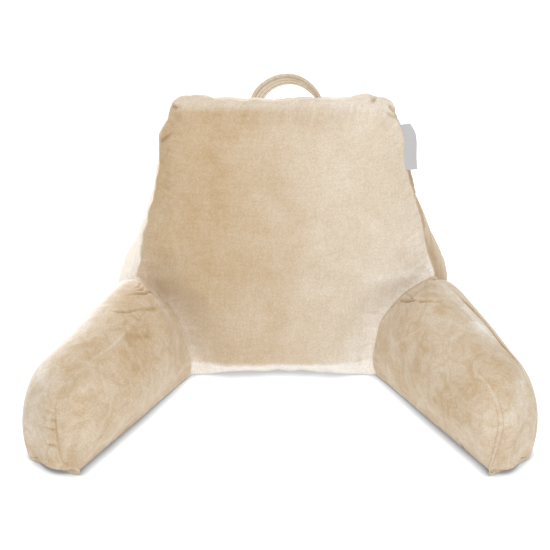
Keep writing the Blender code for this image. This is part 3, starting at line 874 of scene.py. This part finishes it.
def arch(side, station, turn):
    """Places over an arm, built on the right, at distances along its inner edge. Each half
    of the arch is a quarter ellipse down to the waist, and tucks in below it to the base."""
    outer_x, outer_y, height, inner_bulge, outer_bulge = (
        curve(ARM_SECTIONS[side], station, column) for column in range(1, 6))
    inner = FRONT_EDGE + (ARM_SEAM[side][0][1], 0, 0) + station[:, None] * INNER_WAY
    outer = np.stack((outer_x, outer_y + FRONT_EDGE_Y, np.zeros_like(station)), 1)
    middle = (inner + outer) / 2
    half = np.linalg.norm(outer - inner, axis=1) / 2
    inside = turn < 0.5
    way = (outer - inner) / (2 * half[:, None]) * np.where(inside, -1, 1)[:, None]
    nose = np.clip((station - (ARM_LENGTH - NOSE_LENGTH)) / NOSE_LENGTH, 0, 1)
    bulge = np.where(inside, inner_bulge, outer_bulge)
    narrow = np.where(inside, blend(1, NOSE_INSIDE, nose**NOSE_INSIDE_CURVE),
                      blend(NOSE_FRONT[side], 1, rounded(nose, NOSE_CURVE)))
    height = height * rounded(nose, NOSE_ROUND)
    tuck = np.arccos(half / (half + bulge))
    angle = (pi / 2 + tuck) * 2 * np.minimum(turn, 1 - turn) - tuck
    across = np.cos(angle) * narrow
    point = middle + way * ((half + bulge) * across)[:, None]
    bow = np.maximum(1 - (np.cos(angle) / np.cos(tuck))**2, 0)
    point[:, 1] -= NOSE_BOW * nose**4 * bow
    waist = height * ARM_WAIST
    point[:, 2] = np.where(angle < 0, waist * (1 + np.sin(angle) / np.sin(tuck)),
                           waist + (height - waist) * np.sin(angle))
    return point


def arm_point(side, station, turn):
    """The arch, bent near its root to meet the seam on the back cushion."""
    pull = (1 - ease(station / SEAM_REACH))[:, None]
    at_root = arch(side, np.zeros_like(turn), turn)
    return arch(side, station, turn) + (root_seam(side, turn) - at_root) * pull


def arm_grid(side):
    """The arm's skin, built on the right, its places on the tube kept as (station, turn,
    over). over is 1 on the arch and less under it. The inner ring and its cap lie inside
    the cushion."""
    tube = ARM_LENGTH - NOSE_LENGTH
    stations = [tube * (i / ARM_RINGS)**RING_CROWD for i in range(ARM_RINGS)]
    stations += [tube + NOSE_LENGTH * float(rounded(np.cos(pi / 2 * i / NOSE_RINGS), NOSE_ROUND))
                 for i in range(NOSE_RINGS)]
    stations += [ARM_LENGTH * TIP_SHARE]
    turns = np.linspace(0, 1, ARCH_STEPS + 1)
    under = np.linspace(0, 1, UNDER_STEPS + 1)[1:-1]
    shape = bmesh.new()
    loops, kept = [], []
    for station in stations:
        over = arm_point(side, np.full_like(turns, station), turns)
        base = blend(over[-1], over[0], under[:, None])
        loops.append(np.concatenate((over, base)))
        kept += [(station, turn, 1) for turn in turns]
        kept += [(station, 1 - share, 0) for share in under]
    inside = loops[0] + (ROOT_HEART - loops[0] * (1, 1, 0)) * ROOT_DEPTH
    loops.append(inside)
    kept += [(-0.01, turn, over) for _, turn, over in kept[:len(inside)]]
    rings = [[shape.verts.new(place) for place in loop] for loop in loops]
    rings = rings[-1:] + rings[:-1]
    join_rows(shape, rings, closed=True)
    for ring in (rings[0], rings[-1]):
        heart = shape.verts.new(sum((v.co for v in ring), Vector()) / len(ring))
        kept.append((kept[-1][0], 0.5, 0))
        for i in range(len(ring)):
            shape.faces.new((ring[i], ring[(i + 1) % len(ring)], heart))
    bmesh.ops.recalc_face_normals(shape, faces=shape.faces)
    return shape, np.array(kept)


NOSE_STEPS = 900
ARM_GROW = 0.012
ARM_FOLDS_STAY = (0.4, 0.06)  # share of the folds that stay, and how near the root is all
NOSE_HOLD = 0.002  # this close to the seam the cloth is held
TIP_HOLD = 0.3145  # and so is the tip, from here on
RIDGE_SEAM = 0.12  # how much of the seam shows over the ridge, pressed flat
NOSE_SEAM_START = 0.282
NOSE_SEAM_EASE = 0.03
NOSE_SEAM = dict(width=0.0016, pitch=0.008, pucker=0.0009, reach=0.005)
NOSE_SEAM_DEPTH = {1: 0.0007, -1: 0.0016}
ARM_ROOT = dict(width=0.0022, depth=0.0012, pitch=0.012, pucker=0.0009, reach=0.01)
# Painted light on the arm near its root, against the shade between arm and cushion, and how far it
# reaches
ARM_ROOT_PAINTED_LIGHT = {1: 0.34, -1: 0.14}
ARM_ROOT_REACH = 0.05
ARM_CREASES = {  # along the arm and turn of the fold's points, width, depth
    1: ((((0.0, 0.222), (0.012, 0.25), (0.043, 0.335), (0.07, 0.4), (0.092, 0.455),
          (0.103, 0.485)), 0.0036, 0.0042),
        (((0.007, 0.28), (0.023, 0.3), (0.052, 0.36)), 0.003, 0.0026),
        (((0.03, 0.49), (0.063, 0.52), (0.083, 0.495)), 0.003, 0.0024),
        (((0.06, 0.54), (0.082, 0.535), (0.095, 0.52)), 0.003, 0.002),
        (((0.006, 0.25), (0.022, 0.275)), 0.003, 0.0025),
        (((0.095, 0.52), (0.128, 0.54), (0.162, 0.545), (0.2, 0.56)), 0.0045, 0.002),
        (((0.085, 0.59), (0.133, 0.6), (0.162, 0.61), (0.217, 0.605), (0.242, 0.61),
          (0.275, 0.625)), 0.0045, 0.006),
        (((0.25, 0.39), (0.272, 0.405), (0.287, 0.41), (0.295, 0.405)), 0.003, -0.0008),
        (((0.278, 0.36), (0.288, 0.4)), 0.0026, 0.001),
        (((0.295, 0.35), (0.298, 0.375)), 0.0026, 0.001),
        (((0.238, 0.0), (0.233, 0.04), (0.228, 0.065)), 0.005, 0.0042)),
    -1: ((((0.0, 0.23), (0.008, 0.255), (0.015, 0.3), (0.055, 0.43), (0.072, 0.47),
           (0.09, 0.51)), 0.0036, 0.0045),
         (((0.14, 0.555), (0.128, 0.495), (0.113, 0.445), (0.088, 0.4)), 0.0032, 0.0028),
         (((0.09, 0.4), (0.065, 0.35), (0.018, 0.23)), 0.005, 0.003),
         (((0.15, 0.395), (0.132, 0.345), (0.088, 0.255)), 0.008, 0.0012),
         (((0.15, 0.41), (0.132, 0.4), (0.113, 0.39)), 0.0035, -0.001),
         (((0.072, 0.515), (0.055, 0.49), (0.022, 0.405)), 0.0032, 0.0028),
         (((0.072, 0.49), (0.055, 0.465), (0.02, 0.35)), 0.0032, 0.0022),
         (((0.28, 0.15), (0.262, 0.14)), 0.004, 0.0014),
         (((0.303, 0.482), (0.303, 0.545)), 0.0028, 0.0036),
         (((0.3065, 0.472), (0.3067, 0.55)), 0.0028, 0.004),
         (((0.3096, 0.462), (0.3098, 0.545)), 0.0028, 0.0038),
         (((0.3134, 0.44), (0.3136, 0.52)), 0.0028, 0.0034))}

STITCH_PITCH = 0.0036
STITCH_LENGTH = 0.0026
THREAD = 0.0007
THREAD_SUNK = 0.25  # share of the thread's width that its middle stands off the skin
THREAD_COLOUR = (0.42, 0.29, 0.17)
STITCHED_OFF = {1: 0.0038, -1: 0}  # the right arm's nose is topstitched on both sides of its seam
STITCHED_STEPS = (4.6, 9.6)  # between these steps of ARM_SEAM_LINE
STITCHED_SKIN = (0.295, 0.025)  # middle of that part along the arm, and how far it reaches


def build_stitches():
    """Thread stitches along a curve: small stretched beads, Pitch apart."""
    group, given, end = node_group(
        "thread_stitches", 'GeometryNodeTree',
        {"Geometry": "Geometry", "Pitch": STITCH_PITCH, "Length": STITCH_LENGTH,
         "Thread": THREAD, "Material": "Material"}, {"Geometry": "Geometry"})
    spots = node(group, 'GeometryNodeCurveToPoints',
                 {"Curve": given["Geometry"], "Length": given["Pitch"]}, mode='LENGTH').outputs
    bead = node(group, 'GeometryNodeMeshUVSphere', {"Segments": 8, "Rings": 6, "Radius": 0.5})
    size = node(group, 'ShaderNodeCombineXYZ',
                {"X": given["Thread"], "Y": given["Thread"], "Z": given["Length"]})
    beads = node(group, 'GeometryNodeInstanceOnPoints',
                 {"Points": spots["Points"], "Rotation": spots["Rotation"],
                  "Instance": bead.outputs["Mesh"], "Scale": size.outputs["Vector"]})
    whole = node(group, 'GeometryNodeRealizeInstances', {"Geometry": beads.outputs["Instances"]})
    dressed = node(group, 'GeometryNodeSetMaterial',
                   {"Geometry": whole.outputs["Geometry"], "Material": given["Material"]})
    feed(group, end, {"Geometry": dressed.outputs["Geometry"]})
    return group


def stitched(name, rows, material):
    """A piece of thread stitches along rows of points."""
    path = bpy.data.curves.new(name, 'CURVE')
    path.dimensions = '3D'
    for row in rows:
        spline = path.splines.new('POLY')
        spline.points.add(len(row) - 1)
        spline.points.foreach_set("co", np.column_stack((row, np.ones(len(row)))).ravel())
    guide = placed(name + "_guide", path)
    maker = guide.modifiers.new("stitches", 'NODES')
    maker.node_group = build_stitches()
    for item in maker.node_group.interface.items_tree:
        if item.in_out == 'INPUT' and item.name == "Material":
            maker[item.identifier] = material
    mesh = bpy.data.meshes.new_from_object(evaluated(guide))
    bpy.data.objects.remove(guide)
    mesh.name = name
    mesh.shade_smooth()
    return placed(name, mesh)


def laid_on(points, skin, out, above):
    """Points moved onto the nearest places of a skin, a little above it."""
    _, found = nearest(points, skin)
    height = ((skin[found] - points) * out[found]).sum(1) + above
    return points + out[found] * height[:, None]


ARM_PAINTED_STROKES = {  # painted highlights and painted shade: along the arm and turn of the stroke's points, width, lean
    1: ((((0.06, 0.56), (0.18, 0.565), (0.3, 0.57)), 0.019, 1.05),
        (((0.12, 0.7), (0.26, 0.7)), 0.03, 0.1),
        (((0.1, 0.15), (0.25, 0.15)), 0.04, -0.2),
        (((0.238, 0.388), (0.27, 0.402), (0.29, 0.41)), 0.0025, 0.45),
        (((0.3, 0.54), (0.312, 0.76)), 0.032, 0.35),
        (((0.105, 0.596), (0.15, 0.607), (0.2, 0.607), (0.245, 0.611)), 0.0045, -1.0),
        (((0.285, 0.2), (0.3, 0.5)), 0.026, 0.4)),
    -1: ((((-0.03, 0.68), (0.06, 0.68), (0.17, 0.71)), 0.038, 1.8),
         (((0.12, 0.64), (0.2, 0.64), (0.29, 0.62)), 0.036, 1.0),
         (((0.06, 0.3), (0.22, 0.3)), 0.045, -0.4),
         (((0.3, 0.6), (0.312, 0.8)), 0.034, 0.5),
         (((0.11, 0.385), (0.183, 0.4), (0.235, 0.428)), 0.0022, 0.45),
         (((0.29, 0.2), (0.3, 0.5)), 0.02, 0.12))}

for side, name in ((1, "right"), (-1, "left")):
    arm_plush = plush(f"arm_{name}_plush", shift=4.3 * side, lean=0.46, patches=0.35, marks=0.38)
    knots = ARM_SEAM_LINE[side]
    steps = np.linspace(0, knots[-1][0], NOSE_STEPS)
    seam_line = arm_point(side, curve(knots, steps), curve(knots, steps, 2))
    shape, kept = arm_grid(side)
    arm = new_piece(f"arm_{name}_cover", shape, arm_plush)
    keep_values(arm.data, "arm", kept)
    to_seam, _ = nearest(places(arm.data), seam_line)
    held = (kept[:, 0] <= 0) | (kept[:, 2] < 1) | (kept[:, 1] <= 0) | (kept[:, 1] >= 1)
    held |= (to_seam < NOSE_HOLD) | (kept[:, 0] > TIP_HOLD)
    folds = blend(ARM_FOLDS_STAY[0], 1, np.exp(-(kept[:, 0] / ARM_FOLDS_STAY[1])**2))
    fill_with_air(arm, held, ARM_GROW, folds)
    refine(arm)
    kept = kept_values(arm.data, "arm")
    skin = places(arm.data)
    to_seam, seam_length = along_seam(skin, seam_line)
    to_root, root_length = along_seam(skin, root_seam(side, ROOT_TURNS))
    seed = 50 + 10 * side
    shown = blend(RIDGE_SEAM, 1, ease((kept[:, 0] - NOSE_SEAM_START) / NOSE_SEAM_EASE))
    seams = shown * sewn(np.abs(to_seam - STITCHED_OFF[side]), seam_length, seed,
                         depth=NOSE_SEAM_DEPTH[side], **NOSE_SEAM)
    seams += sewn(to_root, root_length, seed + 3, **ARM_ROOT)
    folds = np.zeros(len(skin))
    for line, width, depth in ARM_CREASES[side]:
        folds += crease(skin, arm_point(side, *np.array(line).T), width, depth)
    skin += facings(arm.data) * ((seams + folds) * (kept[:, 2] >= 1) * (kept[:, 0] > 0))[:, None]
    skin[:, 2] = np.maximum(skin[:, 2], 0)
    # Painted light near the root, then strokes of painted highlight and painted shade
    tone_and_painted_light = ARM_ROOT_PAINTED_LIGHT[side] * np.exp(-to_root / ARM_ROOT_REACH)
    for line, width, amount in ARM_PAINTED_STROKES[side]:
        tone_and_painted_light += painted_light_stroke(skin, arm_point(side, *np.array(line).T), width, amount)
    if side < 0:
        skin[:, 0] *= -1
        arm.data.flip_normals()
    set_places(arm.data, skin)
    set_tone_and_painted_light(arm.data, folds + seams, tone_and_painted_light)
    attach(arm, "root")
    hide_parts(f"arm_{name}")
    if side > 0:
        out = facings(arm.data)
        first, last = STITCHED_STEPS
        nose_line = seam_line[(steps > first) & (steps < last)][::4]
        near = np.abs(kept[:, 0] - STITCHED_SKIN[0]) < STITCHED_SKIN[1]
        _, found = nearest(nose_line, skin[near])
        beside = np.cross(np.gradient(nose_line, axis=0), out[near][found])
        beside *= STITCHED_OFF[side] / np.linalg.norm(beside, axis=1)[:, None]
        rows = [laid_on(nose_line + way * beside, skin[near], out[near], THREAD * THREAD_SUNK)
                for way in (-1, 1)]
        thread, _ = plain_material("thread", THREAD_COLOUR, roughness=0.7)
        stitches = stitched("arm_right_stitches", rows, thread)
        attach(stitches, "root")

# ---------------------------------------------------------------- carry loop
# A flat strap of the same plush, folded and quilted lengthwise, both feet sewn into the
# top boxing. It stands up as a leaning half round.
HANDLE_SPAN = 0.102
HANDLE_RISE = 0.036
HANDLE_LEAN = radians(42)
HANDLE_TWIST = radians(46)
HANDLE_WIDTH = 0.026
HANDLE_THICKNESS = 0.0045
HANDLE_X = 0.01
HANDLE_LEFT = 1.3
HANDLE_RIGHT = 1.7
SEWN_IN = 0.008
HANDLE_STEPS = 120
HANDLE_ACROSS = 96
HANDLE_HEM = 0.0064  # thickness of the rolled front edge
HEM_SHARE = 0.28  # share of the width that it takes
HEM_LEAST = 0.0008
HANDLE_PLEATS = 3
PLEAT_DEPTH = 0.0009
STRAP_SQUARE = 0.55  # power that squares the strap's oval section
HEM_TONE = 0.1
PLEAT_SHADE_AND_HIGHLIGHT = (-1.0, 1.2)  # painted shade in the pleats' grooves and a painted highlight on their backs, in nap lean


def handle_frames():
    """Middle, across way and outward way along the loop, its feet sunk in the boxing."""
    up, back = leaning_ways(HANDLE_LEAN)
    middle_of_top, ahead = np.zeros(1), np.ones(1)
    foot = (front_point(middle_of_top, ahead)[0] + rear_point(middle_of_top, ahead)[0]) / 2
    foot = foot + FACE_UP * TOP_CROWN
    foot[0] = HANDLE_X
    share = np.linspace(0, 1, HANDLE_STEPS + 1)[:, None]
    inwards = np.cos(pi * share) * (1, 0, 0) - up * np.sin(pi * share)
    steepness = blend(HANDLE_LEFT, HANDLE_RIGHT, share)
    lift = HANDLE_RISE * np.maximum(np.sin(pi * share), 0)**steepness
    twist = HANDLE_TWIST * (1 - share)
    middle = foot + up * lift - HANDLE_SPAN / 2 * np.cos(pi * share) * (1, 0, 0)
    across = back * np.cos(twist) + inwards * np.sin(twist)
    sunk = [middle[0] - up * SEWN_IN], [middle[-1] - up * SEWN_IN]
    middle = np.concatenate((sunk[0], middle, sunk[1]))
    across = np.concatenate((across[:1], across, across[-1:]))
    along = np.gradient(middle, axis=0)
    along /= np.linalg.norm(along, axis=1)[:, None]
    out = np.cross(along, across)
    return middle, across, out / np.linalg.norm(out, axis=1)[:, None]


def pleat_height(from_front):
    """Height, 0 to 1, of the lengthwise pleats, at shares of the width behind the hem."""
    return np.abs(np.sin(pi * HANDLE_PLEATS * (from_front - HEM_SHARE) / (1 - HEM_SHARE)))**0.5


def handle_mesh():
    """A closed strap: a flattened section with a rolled front edge and lengthwise pleats,
    swept along the loop. Also each place's share of the width, -1 at the front edge."""
    shape = bmesh.new()
    rings, shares = [], []
    angles = np.linspace(0, tau, HANDLE_ACROSS, endpoint=False)
    flat, thick = (np.sign(round_way) * np.abs(round_way)**STRAP_SQUARE
                   for round_way in (np.cos(angles), np.sin(angles)))
    from_front = (flat + 1) / 2
    in_hem = from_front < HEM_SHARE
    hem = np.sqrt(np.maximum(1 - (from_front / HEM_SHARE * 2 - 1)**2, 0)) * in_hem
    groove = PLEAT_DEPTH * (1 - pleat_height(from_front)) * (from_front > HEM_SHARE)
    hemmed = np.sign(thick) * np.maximum(hem * HANDLE_HEM / 2, HEM_LEAST)
    height = np.where(hem > 0, hemmed, thick * (HANDLE_THICKNESS / 2 - groove))
    for middle, across, out in zip(*handle_frames()):
        rings.append([shape.verts.new(middle + across * w + out * h)
                      for w, h in zip(flat * HANDLE_WIDTH / 2, height)])
        shares.append(flat)
    join_rows(shape, rings, closed=True)
    shape.faces.new(rings[0])
    shape.faces.new(rings[-1])
    bmesh.ops.recalc_face_normals(shape, faces=shape.faces)
    return shape, np.concatenate(shares)


handle_plush = plush("handle_plush", shift=5.7, lean=0.7, patches=0.2, marks=0.3)
loop_shape, loop_share = handle_mesh()
carry_handle = new_piece("carry_loop", loop_shape, handle_plush)
from_front = (loop_share + 1) / 2
# Painted shade in the pleats' grooves, a painted highlight on their backs
pleat_light = blend(*PLEAT_SHADE_AND_HIGHLIGHT, pleat_height(from_front))
set_tone_and_painted_light(carry_handle.data, 0, np.where(from_front < HEM_SHARE, HEM_TONE, pleat_light))
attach(carry_handle, "root")
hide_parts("carry_handle")

# ---------------------------------------------------------------- side tag
# A bare woven ribbon, folded in two and caught in the right side seam of the front
# panel. Its free edge is the fold.
LABEL_LENGTH = 0.074
LABEL_PROUD = 0.019
LABEL_CORNERS = 0.86
LABEL_TURN = radians(14)
LABEL_CURL = 0.004
LABEL_THICKNESS = 0.0014
LABEL_SEWN_IN = 0.005
LABEL_HEIGHT = 0.38
LABEL_STEPS = 60
LABEL_ACROSS = 16
LABEL_GREY = (0.455, 0.452, 0.455)

label_satin, _ = plain_material("label_satin", LABEL_GREY, roughness=0.45)


def label_mesh():
    out = np.array((cos(LABEL_TURN), sin(LABEL_TURN), 0))
    share = np.linspace(0, 1, LABEL_STEPS + 1)
    along = LABEL_HEIGHT + LABEL_LENGTH * (share - 0.5)
    seam = front_point(np.ones_like(along), along / FACE_HEIGHT)
    bow = np.sin(pi * share)
    proud = LABEL_PROUD * blend(LABEL_CORNERS, 1, bow)
    shape = bmesh.new()
    rows = []
    for place, reach, middle in zip(seam, proud, bow):
        row = []
        for j in range(LABEL_ACROSS + 1):
            t = j / LABEL_ACROSS
            spot = place + out * blend(-LABEL_SEWN_IN, reach, t)
            spot[1] += LABEL_CURL * middle * t * t
            row.append(shape.verts.new(spot))
        rows.append(row)
    join_rows(shape, rows)
    bmesh.ops.recalc_face_normals(shape, faces=shape.faces)
    return shape


side_label = new_piece("side_tag", label_mesh(), label_satin)
wall = side_label.modifiers.new("thickness", 'SOLIDIFY')
wall.thickness = LABEL_THICKNESS
wall.offset = 0
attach(side_label, "root")
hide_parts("side_label")
